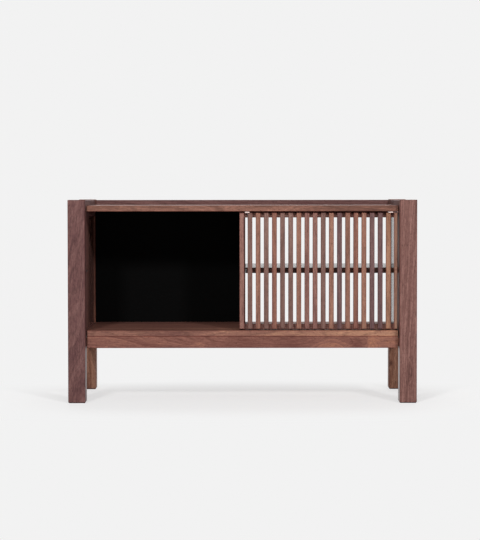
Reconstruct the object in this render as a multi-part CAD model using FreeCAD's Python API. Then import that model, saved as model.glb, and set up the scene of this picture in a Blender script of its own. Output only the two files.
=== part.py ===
import FreeCAD, Part
import os

# Record cabinet: four square posts carry a case with a low gallery round its top.
# The left bay holds records, the right bay is open at the back and has one shelf,
# and a slatted door rolls along the front to close either bay.
# Millimetres. X runs to the right, Y to the back, Z up. The origin is on the floor
# under the middle of the cabinet.

# ---- Driving dimensions: frame ----
width = 1134.0
depth = 457.0
height = 661.0
post_width = 56.0
post_depth = 56.0
post_easing = 1.6
pad_thickness = 2.0
pad_inset = 2.0
leg_clearance = 177.0           # floor to the underside of the lower rails
rail_drop = 2.0                 # gallery rails stand this far below the post tops
side_rail_thickness = 38.0
side_top_rail_height = 55.0
gallery_rail_thickness = 20.0
low_rail_height = 38.5
low_rail_thickness = 22.0
tenon_thickness = 12.0
tenon_length = 20.0
tenon_shoulder = 8.0            # rail stuff above and below a side rail's tenon
stub_tenon_thickness = 10.0
stub_tenon_shoulder = 6.0
stub_tenon_face = 2.0           # rail stuff behind the rear rail's stub tenon
tenon_wall = 1.0                # wood left between crossing tenons in a post
rail_easing = 1.2

# ---- Driving dimensions: case ----
front_setback = 30.0            # post fronts to the case front
rear_setback = 40.0             # post backs to the case rear
reveal = 3.0                    # shadow gap between the case ends and the posts
gallery_lip = 16.5              # gallery rails stand this far above the top panel
top_thickness = 19.0
bottom_thickness = 19.0
divider_thickness = 19.0
shelf_thickness = 18.0
side_panel_thickness = 12.0
side_panel_recess = 4.0         # side panel faces lie this far outside the post faces
side_panel_housing = 6.0        # how deep the side panels enter posts and rails
back_panel_thickness = 6.0
back_panel_housing = 5.0
back_panel_lip = 3.0            # case stuff behind the back panel
tongue_thickness = 6.0
tongue_housing = 8.0            # how deep the panel tongues enter the rails
tongue_stop = 4.0               # tongues stop this far short of the posts
bottom_tongue_lift = 3.0        # underside of the bottom panel to its tongue
panel_easing = 1.0
dowel_diameter = 8.0
rail_dowel_count = 4
rail_dowel_into_rail = 18.0
rail_dowel_into_panel = 12.0
rail_dowel_end = 120.0          # case end to the outermost dowel
divider_dowel_count = 3
divider_dowel_into_divider = 20.0
divider_dowel_into_panel = 9.0
divider_dowel_end = 45.0
shelf_gap = 0.5                 # shelf ends to the divider and the side panel
shelf_groove_depth = 4.5
shelf_groove_height = 9.0
wire_diameter = 3.0
wire_into_wood = 8.0
wire_standoff = 2.2             # wood face to the wire's centre line
wire_inset = 38.0               # shelf front and back edge to the wire's ends
wire_gap = 0.05

# ---- Driving dimensions: door ----
door_setback = 8.0              # case front to the slats
door_back_gap = 3.0             # door rails to the divider and the shelf
door_end_gap = 4.5              # door end to the post
door_top_gap = 5.1
door_bottom_gap = 4.2
door_rail_clearance = 1.5       # lower door rail to the bottom panel
slat_count = 20
slat_width = 15.5
last_slat_width = 10.6          # the right-hand slat is ripped narrower to end with the door
slat_depth = 16.0
slat_easing = 1.0
door_rail_height = 15.4
door_rail_depth = 16.0
screw_shank_diameter = 3.6
screw_head_diameter = 7.0
screw_head_depth = 2.6
screw_length = 26.0

# ---- Driving dimensions: guides, rollers and tracks ----
guide_length = 14.3
guide_depth = 12.0
guide_setback = 3.0             # case front to the guides
guide_left_shift = 9.1          # left guide's middle, to the left of the second slat's middle
guide_right_shift = 6.8         # right guide's middle, to the right of the last slat but one
guide_play = 0.6                # guide base to the top panel
guide_tongue_inset = 1.5
guide_tongue_rise = 6.0         # how far the tongue stands above the panel's underside
guide_side_play = 0.2
guide_screw_diameter = 3.0
guide_screw_head_diameter = 5.0
guide_screw_head_depth = 1.4
guide_screw_into_rail = 11.0
top_track_width = 8.0
top_track_depth = 12.0
track_wall = 1.0
track_end_margin = 8.5          # left end of the top track to the guide at full travel
track_stop_gap = 0.5            # right guide to the end stop
stop_setback = 9.0              # case front to the end stop
stop_play = 0.4                 # end stop to the door's top edge
bottom_track_width = 10.0
bottom_track_depth = 4.0
bottom_track_end = 13.0         # case end to the bottom track's end
track_screw_count = 5
track_screw_diameter = 2.5
track_screw_head_diameter = 4.5
track_screw_length = 6.0
track_screw_end = 30.0
wheel_radius = 9.0
wheel_width = 5.0
wheel_play = 0.1                # wheel rim to the track's floor
wheel_side_play = 0.3
wheel_dish_depth = 0.8
wheel_dish_radius = 6.5
wheel_hub_radius = 3.2
axle_radius = 1.5
axle_play = 0.05
housing_depth = 10.0
housing_drop = 0.3              # housing stands this far below the lower door rail
housing_cover = 3.0             # rail stuff above the housing
housing_screw_gap = 0.5         # housing end to the slat screws beside it
wheel_cavity_play = 0.6
bumper_diameter = 8.0
bumper_gap = 0.3                # bumper to the door's end at full travel
roller_bay = 1                  # rollers sit in this slat gap, counted from each end

# ---- Levels and places worked out from them ----
y_front = -depth / 2
y_rear = depth / 2
half_width = width / 2
inner_x = half_width - post_width
front_post_back = y_front + post_depth
rear_post_front = y_rear - post_depth

rail_top = height - rail_drop
side_top_rail_bottom = rail_top - side_top_rail_height
top_surface = rail_top - gallery_lip
top_underside = top_surface - top_thickness
bottom_underside = leg_clearance + low_rail_height
bottom_surface = bottom_underside + bottom_thickness

case_front = y_front + front_setback
case_rear = y_rear - rear_setback
case_x = inner_x - reveal
side_panel_inner = inner_x + side_panel_recess
side_panel_outer = side_panel_inner + side_panel_thickness
side_tenon_x = inner_x + (side_rail_thickness - tenon_thickness) / 2
stub_tenon_length = (side_rail_thickness - tenon_thickness) / 2 - tenon_wall
top_tongue_z = top_surface - (top_thickness + tongue_thickness) / 2
bottom_tongue_z = bottom_underside + bottom_tongue_lift

door_front = case_front + door_setback
slat_back = door_front + slat_depth
door_back = slat_back + door_rail_depth
door_left = -divider_thickness / 2
door_right = inner_x - door_end_gap
door_width = door_right - door_left
door_bottom = bottom_surface + door_bottom_gap
door_top = top_underside - door_top_gap
lower_rail_bottom = bottom_surface + door_rail_clearance
lower_rail_top = door_bottom + door_rail_height
track_y = (slat_back + door_back) / 2
divider_front = door_back + door_back_gap
slat_pitch = (door_width - last_slat_width) / (slat_count - 1)
door_travel = door_right + door_left
bay_middle = (bottom_surface + top_underside) / 2

back_panel_y = case_rear - back_panel_lip - back_panel_thickness
track_floor = bottom_surface - bottom_track_depth + track_wall
wheel_z = track_floor + wheel_play + wheel_radius
guide_tongue_top = top_underside + guide_tongue_rise


# ---- Small helpers ----
def block(x0, x1, y0, y1, z0, z1):
    """A box between two corners, given as low and high values on each axis."""
    corner = FreeCAD.Vector(min(x0, x1), min(y0, y1), min(z0, z1))
    return Part.makeBox(abs(x1 - x0), abs(y1 - y0), abs(z1 - z0), corner)


def rod(start, direction, radius, length):
    return Part.makeCylinder(radius, length, FreeCAD.Vector(*start), FreeCAD.Vector(*direction))


def ease(shape, radius, axis=None):
    """Round the edges of a board: all of them, or only those along one axis."""
    edges = []
    for edge in shape.Edges:
        start, end = edge.Vertexes[0].Point, edge.Vertexes[-1].Point
        along = end - start
        if axis is None or abs(along.dot(axis)) > 0.99 * along.Length:
            edges.append(edge)
    return shape.makeFillet(radius, edges)


def board(x0, x1, y0, y1, z0, z1, easing):
    """A board with all its edges eased, never by more than a quarter of its thickness."""
    thickness = min(abs(x1 - x0), abs(y1 - y0), abs(z1 - z0))
    return ease(block(x0, x1, y0, y1, z0, z1), min(easing, thickness / 4))


def joined(base, *additions):
    return base.fuse(list(additions)).removeSplitter()


def countersunk_screw(tip, direction, shank_radius, head_radius, head_depth, length):
    """A screw from the centre of its flat head, pointing along direction."""
    head = Part.makeCone(head_radius, shank_radius, head_depth, FreeCAD.Vector(*tip),
                         FreeCAD.Vector(*direction))
    shank = rod(tip, direction, shank_radius, length)
    return joined(head, shank)


def spread(low, high, count):
    """Evenly spaced places from low to high, both included."""
    return [low + (high - low) * index / (count - 1) for index in range(count)]


def save(name, solids):
    """Write one node: a single solid, or a group of separate ones."""
    shape = solids[0] if len(solids) == 1 else Part.makeCompound(solids)
    shape.exportStep(os.path.join("parts", name + ".step"))


# ---- Fasteners and pieces that others are cut to fit ----
def rail_dowels(y):
    """Dowels that stand up out of a lower rail into the bottom panel."""
    low_end = bottom_underside - rail_dowel_into_rail
    length = rail_dowel_into_rail + rail_dowel_into_panel
    places = spread(-case_x + rail_dowel_end, case_x - rail_dowel_end, rail_dowel_count)
    return [rod((x, y, low_end), (0, 0, 1), dowel_diameter / 2, length) for x in places]


def divider_dowels():
    """Dowels between the divider's ends and the two panels."""
    length = divider_dowel_into_divider + divider_dowel_into_panel
    low_start = bottom_surface - divider_dowel_into_panel
    high_start = top_underside - divider_dowel_into_divider
    places = spread(divider_front + divider_dowel_end, case_rear - divider_dowel_end, divider_dowel_count)
    dowels = []
    for y in places:
        for start in (low_start, high_start):
            dowels.append(rod((0, y, start), (0, 0, 1), dowel_diameter / 2, length))
    return dowels


def shelf_wire(face_x, side):
    """A bent wire that plugs into a wood face; side is the way it stands out."""
    radius = wire_diameter / 2
    z = bay_middle + shelf_groove_height / 2 - radius - wire_gap
    run_x = face_x + side * wire_standoff
    ends = (divider_front + wire_inset, case_rear - wire_inset)
    wire = rod((run_x, ends[0], z), (0, 1, 0), radius, ends[1] - ends[0])
    for y in ends:
        leg = rod((run_x, y, z), (-side, 0, 0), radius, wire_standoff + wire_into_wood)
        elbow = Part.makeSphere(radius, FreeCAD.Vector(run_x, y, z))
        wire = wire.fuse([leg, elbow])
    return wire.removeSplitter()


def back_panel():
    x0 = -(inner_x + back_panel_housing)
    x1 = -divider_thickness / 2 + back_panel_housing
    z0 = bottom_surface - back_panel_housing
    z1 = top_underside + back_panel_housing
    return block(x0, x1, back_panel_y, back_panel_y + back_panel_thickness, z0, z1)


def slat_span(index):
    """The left and right faces of a slat."""
    left = door_left + index * slat_pitch
    if index == slat_count - 1:
        return left, door_right
    return left, left + slat_width


def slat_middle(index):
    return sum(slat_span(index)) / 2


def slat_screws():
    """One screw through each door rail into each slat, driven from behind."""
    screws = []
    for index in range(slat_count):
        x = slat_middle(index)
        for z in (door_bottom + door_rail_height / 2, door_top - door_rail_height / 2):
            screws.append(countersunk_screw((x, door_back, z), (0, -1, 0), screw_shank_diameter / 2,
                                            screw_head_diameter / 2, screw_head_depth, screw_length))
    return screws


guide_places = (slat_middle(1) - guide_left_shift - guide_length / 2,
                slat_middle(slat_count - 2) + guide_right_shift - guide_length / 2)


def guide_screws():
    screws = []
    for left in guide_places:
        x = left + guide_length / 2
        length = guide_tongue_top - door_top + guide_screw_into_rail
        screws.append(countersunk_screw((x, track_y, guide_tongue_top), (0, 0, -1),
                                        guide_screw_diameter / 2, guide_screw_head_diameter / 2,
                                        guide_screw_head_depth, length))
    return screws


def gap_centre(index):
    """The place midway between the screws of a slat and of the next one."""
    return (slat_middle(index) + slat_middle(index + 1)) / 2


roller_places = (gap_centre(roller_bay), gap_centre(slat_count - 2 - roller_bay))
housing_length = slat_pitch - screw_shank_diameter - 2 * housing_screw_gap
housing_top = lower_rail_top - housing_cover


def housing_outer(x):
    half = housing_length / 2
    return block(x - half, x + half, track_y - housing_depth / 2, track_y + housing_depth / 2,
                 lower_rail_bottom - housing_drop, housing_top)


def axle(x):
    return rod((x, track_y - housing_depth / 2, wheel_z), (0, 1, 0), axle_radius, housing_depth)


top_track_left = guide_places[0] - door_travel - track_end_margin
top_track_right = guide_places[1] + guide_length + track_stop_gap
bottom_track_half = case_x - bottom_track_end


def track_screws():
    """Screws through the floors of both tracks into the panels."""
    screws = []
    radius, head = track_screw_diameter / 2, track_screw_head_diameter / 2
    for x in spread(-bottom_track_half + track_screw_end, bottom_track_half - track_screw_end,
                    track_screw_count):
        screws.append(countersunk_screw((x, track_y, track_floor), (0, 0, -1), radius, head,
                                        track_wall, track_screw_length))
    ceiling = top_underside + top_track_depth - track_wall
    for x in spread(top_track_left + track_screw_end, top_track_right - track_screw_end,
                    track_screw_count):
        screws.append(countersunk_screw((x, track_y, ceiling), (0, 0, 1), radius, head,
                                        track_wall, track_screw_length))
    return screws


# ---- Frame ----
def side_rail(side, z0, z1):
    """A side rail between the front and rear post, with a tenon at each end."""
    body = board(side * inner_x, side * (inner_x + side_rail_thickness), front_post_back,
                 rear_post_front, z0, z1, rail_easing)
    tenon = block(side * side_tenon_x, side * (side_tenon_x + tenon_thickness),
                  front_post_back - tenon_length, rear_post_front + tenon_length,
                  z0 + tenon_shoulder, z1 - tenon_shoulder)
    return joined(body, tenon)


def cross_rail(end_x, y0, y1, z0, z1, tenon_y):
    """A front or rear rail between the left and right posts, with stub tenons."""
    reach = inner_x + stub_tenon_length
    body = board(-end_x, end_x, y0, y1, z0, z1, rail_easing)
    tenon = block(-reach, reach, tenon_y, tenon_y + stub_tenon_thickness,
                  z0 + stub_tenon_shoulder, z1 - stub_tenon_shoulder)
    return joined(body, tenon)


def side_panel(side):
    return block(side * side_panel_inner, side * side_panel_outer,
                 front_post_back - side_panel_housing, rear_post_front + side_panel_housing,
                 bottom_surface - side_panel_housing, side_top_rail_bottom + side_panel_housing)


def case_board(z0, z1, tongue_z, rear_tongue):
    """A panel of the case with tongues that enter the side rails and the gallery rail."""
    body = board(-case_x, case_x, case_front, case_rear, z0, z1, panel_easing)
    tongue_top = tongue_z + tongue_thickness
    tongue_x = inner_x + tongue_housing
    tongues = [block(-tongue_x, tongue_x, front_post_back + tongue_stop,
                     min(rear_post_front, case_rear) - tongue_stop, tongue_z, tongue_top)]
    if rear_tongue:
        tongues.append(block(-case_x + tongue_stop, case_x - tongue_stop, case_rear - tongue_stop,
                             case_rear + tongue_housing, tongue_z, tongue_top))
    return joined(body, *tongues)


def post(x_side, y_side, cutters):
    """A corner post, with the mortises and grooves of what enters it."""
    y_outer = y_rear if y_side > 0 else y_front
    body = board(x_side * inner_x, x_side * half_width, y_outer, y_outer - y_side * post_depth,
                 pad_thickness, height, post_easing)
    return body.cut(cutters)


def foot_pad(x_side, y_side):
    x0 = x_side * (inner_x + pad_inset)
    x1 = x_side * (half_width - pad_inset)
    y0 = y_side * (depth / 2 - pad_inset)
    y1 = y_side * (depth / 2 - post_depth + pad_inset)
    return block(x0, x1, y0, y1, 0, pad_thickness)


def bumper(side):
    thickness = door_end_gap - bumper_gap
    start = (side * inner_x, (door_front + slat_back) / 2, bay_middle)
    return rod(start, (-side, 0, 0), bumper_diameter / 2, thickness)


# ---- Tracks ----
def top_track():
    y0, y1 = track_y - top_track_width / 2, track_y + top_track_width / 2
    outer = block(top_track_left, top_track_right, y0, y1, top_underside, top_underside + top_track_depth)
    inner = block(top_track_left, top_track_right, y0 + track_wall, y1 - track_wall,
                  top_underside, top_underside + top_track_depth - track_wall)
    return outer, outer.cut(inner)


def bottom_track():
    y0, y1 = track_y - bottom_track_width / 2, track_y + bottom_track_width / 2
    outer = block(-bottom_track_half, bottom_track_half, y0, y1,
                  bottom_surface - bottom_track_depth, bottom_surface)
    inner = block(-bottom_track_half, bottom_track_half, y0 + track_wall, y1 - track_wall,
                  track_floor, bottom_surface)
    return outer, outer.cut(inner)


def track_end_stop():
    """The block that closes the top track beside the right post."""
    return block(top_track_right, inner_x, case_front + stop_setback, track_y + guide_depth / 2,
                 door_top + stop_play, top_underside)


# ---- Door ----
def door_slat(index, screws):
    left, right = slat_span(index)
    slat = board(left, right, door_front, slat_back, door_bottom, door_top, slat_easing)
    return slat.cut(screws)


def door_rail(z0, z1, cutters):
    rail = board(door_left, door_right, slat_back, door_back, z0, z1, slat_easing)
    return rail.cut(cutters)


def door_guide(left, screws):
    """A nylon guide: a base on the top of the door and a tongue that runs in the top track."""
    base = block(left, left + guide_length, case_front + guide_setback, track_y + guide_depth / 2,
                 door_top, top_underside - guide_play)
    half = top_track_width / 2 - track_wall - guide_side_play
    tongue = block(left + guide_tongue_inset, left + guide_length - guide_tongue_inset,
                   track_y - half, track_y + half, door_top, guide_tongue_top)
    tongue = ease(tongue, half / 2, FreeCAD.Vector(0, 0, 1))
    return joined(base, tongue).cut(screws)


def roller_housing(x):
    """A nylon block let into the bottom door rail, open below for its wheel."""
    half_cavity = wheel_width / 2 + wheel_side_play
    radius = wheel_radius + wheel_cavity_play
    cavity = rod((x, track_y - half_cavity, wheel_z), (0, 1, 0), radius, 2 * half_cavity)
    return housing_outer(x).cut([cavity, axle(x)])


def roller_wheel(x):
    """A wheel dished on both faces, with a bore that turns on the axle."""
    start = (x, track_y - wheel_width / 2, wheel_z)
    dish = rod(start, (0, 1, 0), wheel_dish_radius, wheel_dish_depth)
    dish = dish.cut(rod(start, (0, 1, 0), wheel_hub_radius, wheel_dish_depth))
    far_dish = dish.copy()
    far_dish.translate(FreeCAD.Vector(0, wheel_width - wheel_dish_depth, 0))
    bore = rod(start, (0, 1, 0), axle_radius + axle_play, wheel_width)
    return rod(start, (0, 1, 0), wheel_radius, wheel_width).cut([dish, far_dish, bore])


# ---- Build and write every node ----
def build():
    sides = {"left": -1, "right": 1}
    y_sides = {"front": -1, "rear": 1}

    top_rails = {name: side_rail(side, side_top_rail_bottom, rail_top) for name, side in sides.items()}
    bottom_rails = {name: side_rail(side, leg_clearance, bottom_surface) for name, side in sides.items()}
    panels = {name: side_panel(side) for name, side in sides.items()}
    gallery_middle = case_rear + gallery_rail_thickness / 2
    gallery = cross_rail(inner_x, case_rear, case_rear + gallery_rail_thickness,
                         side_top_rail_bottom, rail_top, gallery_middle - stub_tenon_thickness / 2)
    front_rail = cross_rail(case_x, case_front, case_front + low_rail_thickness, leg_clearance,
                            bottom_underside, case_front + (low_rail_thickness - stub_tenon_thickness) / 2)
    rear_rail = cross_rail(case_x, case_rear - low_rail_thickness, case_rear, leg_clearance,
                           bottom_underside, case_rear - stub_tenon_face - stub_tenon_thickness)
    record_back = back_panel()
    wires = [shelf_wire(divider_thickness / 2, 1), shelf_wire(side_panel_inner, -1)]
    front_dowels = rail_dowels(case_front + low_rail_thickness / 2)
    rear_dowels = rail_dowels(case_rear - low_rail_thickness / 2)
    middle_dowels = divider_dowels()
    track_fixings = track_screws()
    top_outer, top_rail_track = top_track()
    bottom_outer, bottom_rail_track = bottom_track()

    top_panel = case_board(top_underside, top_surface, top_tongue_z, True)
    bottom_panel = case_board(bottom_underside, bottom_surface, bottom_tongue_z, False)

    for y_name, y_side in y_sides.items():
        for x_name, x_side in sides.items():
            cutters = [top_rails[x_name], bottom_rails[x_name], panels[x_name], front_rail,
                       rear_rail, gallery, record_back]
            save("post_%s_%s" % (y_name, x_name), [post(x_side, y_side, cutters)])
    for name in sides:
        save("side_top_rail_" + name, [top_rails[name].cut([panels[name], top_panel])])
        save("side_bottom_rail_" + name, [bottom_rails[name].cut([panels[name], bottom_panel])])
    save("side_panel_left", [panels["left"].cut([record_back])])
    save("side_panel_right", [panels["right"].cut([wires[1]])])
    save("gallery_back_rail", [gallery.cut([top_panel])])
    save("front_rail", [front_rail.cut(front_dowels)])
    save("rear_rail", [rear_rail.cut(rear_dowels)])
    save("top_panel", [top_panel.cut([record_back, top_outer] + middle_dowels + track_fixings)])
    save("bottom_panel", [bottom_panel.cut([record_back, bottom_outer] + front_dowels + rear_dowels
                                           + middle_dowels + track_fixings)])
    divider = board(-divider_thickness / 2, divider_thickness / 2, divider_front, case_rear,
                    bottom_surface, top_underside, panel_easing)
    save("center_divider", [divider.cut([record_back, wires[0]] + middle_dowels)])
    save("record_bay_back_panel", [record_back])
    save("panel_dowels", front_dowels + rear_dowels + middle_dowels)
    save("middle_shelf", [middle_shelf()])
    save("shelf_wires", wires)
    save("door_track_top", [top_rail_track.cut(track_fixings)])
    save("door_track_bottom", [bottom_rail_track.cut(track_fixings)])
    save("track_screws", track_fixings)
    save("track_end_stop", [track_end_stop()])
    save("door_bumpers", [bumper(side) for side in sides.values()])
    save("foot_pads", [foot_pad(x_side, y_side) for x_side in sides.values() for y_side in y_sides.values()])
    build_door()


def middle_shelf():
    """The shelf, grooved along both ends for its wires and notched round the rear post."""
    left = divider_thickness / 2 + shelf_gap
    right = side_panel_inner - shelf_gap
    z0 = bay_middle - shelf_thickness / 2
    z1 = bay_middle + shelf_thickness / 2
    groove_z = (bay_middle - shelf_groove_height / 2, bay_middle + shelf_groove_height / 2)
    shelf = board(left, right, divider_front, case_rear, z0, z1, panel_easing)
    left_groove = block(left, left + shelf_groove_depth, divider_front, case_rear, *groove_z)
    right_groove = block(right - shelf_groove_depth, right, divider_front, case_rear, *groove_z)
    notch = block(inner_x - shelf_gap, right, rear_post_front - shelf_gap, case_rear, z0, z1)
    return shelf.cut([left_groove, right_groove, notch])


def build_door():
    screws = slat_screws()
    upper_screws = guide_screws()
    for index in range(slat_count):
        save("door_slat_%02d" % (index + 1), [door_slat(index, screws[2 * index:2 * index + 2])])
    save("door_rail_top", [door_rail(door_top - door_rail_height, door_top, screws[1::2] + upper_screws)])
    housings = [housing_outer(x) for x in roller_places]
    save("door_rail_bottom", [door_rail(lower_rail_bottom, lower_rail_top, screws[0::2] + housings)])
    save("slat_screws", screws)
    save("guide_screws", upper_screws)
    for name, guide_x, roller_x in zip(("left", "right"), guide_places, roller_places):
        save("door_guide_" + name, [door_guide(guide_x, upper_screws)])
        save("roller_housing_" + name, [roller_housing(roller_x)])
        save("roller_wheel_" + name, [roller_wheel(roller_x)])
    save("roller_axles", [axle(x) for x in roller_places])


os.makedirs("parts", exist_ok=True)
build()
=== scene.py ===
from math import cos, pi, radians, sin

import bmesh
import bpy
from mathutils import Euler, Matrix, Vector


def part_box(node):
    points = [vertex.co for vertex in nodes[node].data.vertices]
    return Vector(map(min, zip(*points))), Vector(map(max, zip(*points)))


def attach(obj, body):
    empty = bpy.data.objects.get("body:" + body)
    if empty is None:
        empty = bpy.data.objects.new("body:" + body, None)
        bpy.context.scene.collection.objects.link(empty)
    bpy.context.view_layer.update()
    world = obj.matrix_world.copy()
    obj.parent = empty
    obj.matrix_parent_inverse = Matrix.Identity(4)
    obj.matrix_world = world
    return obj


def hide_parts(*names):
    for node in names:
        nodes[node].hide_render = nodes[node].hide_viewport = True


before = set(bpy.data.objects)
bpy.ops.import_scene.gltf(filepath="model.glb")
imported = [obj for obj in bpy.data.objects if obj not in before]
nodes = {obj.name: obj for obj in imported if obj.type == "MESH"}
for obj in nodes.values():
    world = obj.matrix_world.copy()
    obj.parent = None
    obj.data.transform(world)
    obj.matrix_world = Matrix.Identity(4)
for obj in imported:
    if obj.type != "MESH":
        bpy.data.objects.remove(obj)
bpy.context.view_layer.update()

# Camera: level with the top of the cabinet and far back, so that the uprights stay upright
# and the gallery is seen almost edge on.
image_width, image_height = 480, 540
camera_place = (-0.0005, -5.8205, 0.6836)
camera_pitch = radians(1.93)
camera_roll = radians(0.046)
lens_focus = 115.0
optical_centre = (242.2, 251.0)
camera_data = bpy.data.cameras.new("camera")
camera_data.sensor_width = 36.0
camera_data.lens = lens_focus
camera_data.shift_x = (image_width / 2 - optical_centre[0]) / image_height
camera_data.shift_y = (optical_centre[1] - image_height / 2) / image_height
camera = bpy.data.objects.new("camera", camera_data)
camera.location = camera_place
camera.rotation_euler = (pi / 2 - camera_pitch, camera_roll, 0)
bpy.context.scene.collection.objects.link(camera)
bpy.context.scene.camera = camera


# Corner posts: four lengths of solid black walnut, 56 mm square, planed and eased along
# every edge, mortised for the rails and finished with a thin satin oil.
def srgb(colour):
    """A hex colour as the linear red, green, blue and alpha that a shader takes."""
    channels = [int(colour[i:i + 2], 16) / 255 for i in (1, 3, 5)]
    linear = [c / 12.92 if c <= 0.04045 else ((c + 0.055) / 1.055) ** 2.4 for c in channels]
    return (*linear, 1.0)


def add(tree, kind, links=None, stops=(), **settings):
    """Adds a node: settings are its properties, links its inputs, each a socket or a value, and
    stops the places along a colour ramp, each with its colour or grey."""
    node = tree.nodes.new(kind)
    for key, value in settings.items():
        setattr(node, key, value)
    for key, value in (links or {}).items():
        if isinstance(value, bpy.types.NodeSocket):
            tree.links.new(value, node.inputs[key])
        else:
            node.inputs[key].default_value = value
    if stops:
        elements = node.color_ramp.elements
        elements.remove(elements[1])
    for index, (position, colour) in enumerate(stops):
        element = elements[0] if index == 0 else elements.new(position)
        element.position = position
        element.color = colour if hasattr(colour, "__len__") else (colour, colour, colour, 1.0)
    return node


def surface(name):
    """A new material with an empty tree, its shader and its object coordinates."""
    material = bpy.data.materials.new(name)
    material.use_nodes = True
    tree = material.node_tree
    tree.nodes.clear()
    shader = add(tree, "ShaderNodeBsdfPrincipled")
    add(tree, "ShaderNodeOutputMaterial", {0: shader.outputs[0]})
    place = add(tree, "ShaderNodeTexCoord").outputs["Object"]
    return material, tree, shader, place


def shade(colour, factor):
    """A linear colour made lighter or darker."""
    return (*[channel * factor for channel in colour[:3]], 1.0)


def in_the_log(tree, place, middle, grain, heart, lean, stretch):
    """Where a board's points lie in its log: Z runs along the log's heart and is shortened by
    stretch, so that every pattern on it is long along the grain."""
    stand = Euler({"X": (0, pi / 2, 0), "Y": (-pi / 2, 0, 0), "Z": (0, 0, 0)}[grain]).to_matrix()
    turn = stand @ Euler((-lean[1], lean[0], 0)).to_matrix()
    return add(tree, "ShaderNodeMapping", {
        "Vector": place, "Location": middle + stand @ Vector((*heart, 0)),
        "Rotation": turn.to_euler(), "Scale": (1, 1, stretch)}, vector_type="TEXTURE").outputs[0]


def glued_up(tree, place, log, tone, axis, width, start):
    """Gives each stave of a glued-up board its own place in the log and its own tone: the
    staves lie side by side along an axis from start on, and run through the whole board."""
    place_spread, tone_spread = (0.10, 0.10, 1.0), 0.5
    past_any_board = 1.0
    corner, sizes = Vector([-past_any_board] * 3), Vector([2 * past_any_board] * 3)
    across = "XYZ".index(axis)
    corner[across], sizes[across] = start, width
    cell = add(tree, "ShaderNodeVectorMath", {0: place, 1: corner}, operation="SUBTRACT").outputs[0]
    cell = add(tree, "ShaderNodeVectorMath", {0: cell, 1: sizes}, operation="DIVIDE").outputs[0]
    cell = add(tree, "ShaderNodeVectorMath", {0: cell}, operation="FLOOR").outputs[0]
    chance = add(tree, "ShaderNodeTexWhiteNoise", {"Vector": cell}).outputs
    log = add(tree, "ShaderNodeVectorMath", {0: chance["Color"], 1: place_spread, 2: log},
              operation="MULTIPLY_ADD").outputs[0]
    tone = add(tree, "ShaderNodeMath", {
        0: chance["Value"], 1: tone_spread, 2: tone - tone_spread / 2},
        operation="MULTIPLY_ADD").outputs[0]
    return log, tone


def ring_radius(tree, log, seed):
    """How far out a point's year ring lies: its distance from the heart, with a slow sway."""
    sway_width, sway_height = 0.06, 0.040
    across = add(tree, "ShaderNodeVectorMath", {0: log, 1: (1, 1, 0)}, operation="MULTIPLY").outputs[0]
    radius = add(tree, "ShaderNodeVectorMath", {0: across}, operation="LENGTH").outputs["Value"]
    sway = add(tree, "ShaderNodeTexNoise", {
        "Vector": log, "W": seed, "Scale": 1 / sway_width, "Detail": 2.0},
        noise_dimensions="4D").outputs[0]
    return add(tree, "ShaderNodeMath", {0: sway, 1: sway_height, 2: radius},
               operation="MULTIPLY_ADD").outputs[0]


def swollen(tree, place, radius, tone, eye_place, reach, height, paleness):
    """Lets the rings swell round an eye, and turns the wood there paler or darker."""
    near = add(tree, "ShaderNodeMapping", {
        "Vector": place, "Location": eye_place, "Scale": reach}, vector_type="TEXTURE").outputs[0]
    distance = add(tree, "ShaderNodeVectorMath", {0: near}, operation="LENGTH").outputs["Value"]
    swell = add(tree, "ShaderNodeMapRange", {
        "Value": distance, "From Min": 0.0, "From Max": 1.0, "To Min": 1.0, "To Max": 0.0},
        interpolation_type="SMOOTHSTEP").outputs[0]
    radius = add(tree, "ShaderNodeMath", {0: swell, 1: height, 2: radius},
                 operation="MULTIPLY_ADD").outputs[0]
    tone = add(tree, "ShaderNodeMath", {0: swell, 1: paleness, 2: tone},
               operation="MULTIPLY_ADD").outputs[0]
    return radius, tone


def figured(tree, log, radius, tone, seed, shares, stretch):
    """Adds bands that follow the rings, slow drift, mottle and fine streaks to the tone."""
    band_width, drift_width = 0.011, 0.035
    mottle_width, mottle_length = 0.005, 0.014
    streak_width, streak_shortening = 0.0030, 0.35
    bands = add(tree, "ShaderNodeTexNoise", {
        "W": add(tree, "ShaderNodeMath", {0: radius, 1: 1 / band_width, 2: 7 * seed},
                 operation="MULTIPLY_ADD").outputs[0],
        "Scale": 1.0, "Detail": 3.0, "Roughness": 0.65}, noise_dimensions="1D").outputs[0]
    drift = add(tree, "ShaderNodeTexNoise", {
        "Vector": log, "W": seed + 5, "Scale": 1 / drift_width, "Detail": 2.0},
        noise_dimensions="4D").outputs[0]
    shorter = add(tree, "ShaderNodeVectorMath", {
        0: log, 1: (1, 1, stretch * mottle_width / mottle_length)}, operation="MULTIPLY").outputs[0]
    mottle = add(tree, "ShaderNodeTexNoise", {
        "Vector": shorter, "W": seed + 7, "Scale": 1 / mottle_width, "Detail": 2.0,
        "Distortion": 0.6}, noise_dimensions="4D").outputs[0]
    longer = add(tree, "ShaderNodeVectorMath", {0: log, 1: (1, 1, streak_shortening)},
                 operation="MULTIPLY").outputs[0]
    streaks = add(tree, "ShaderNodeTexNoise", {
        "Vector": longer, "W": seed + 9, "Scale": 1 / streak_width, "Detail": 3.0,
        "Roughness": 0.6}, noise_dimensions="4D").outputs[0]
    for value, share in zip((bands, drift, mottle, streaks), shares):
        tone = add(tree, "ShaderNodeMath", {0: value, 1: share, 2: tone},
                   operation="MULTIPLY_ADD").outputs[0]
    return tone, streaks


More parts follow.
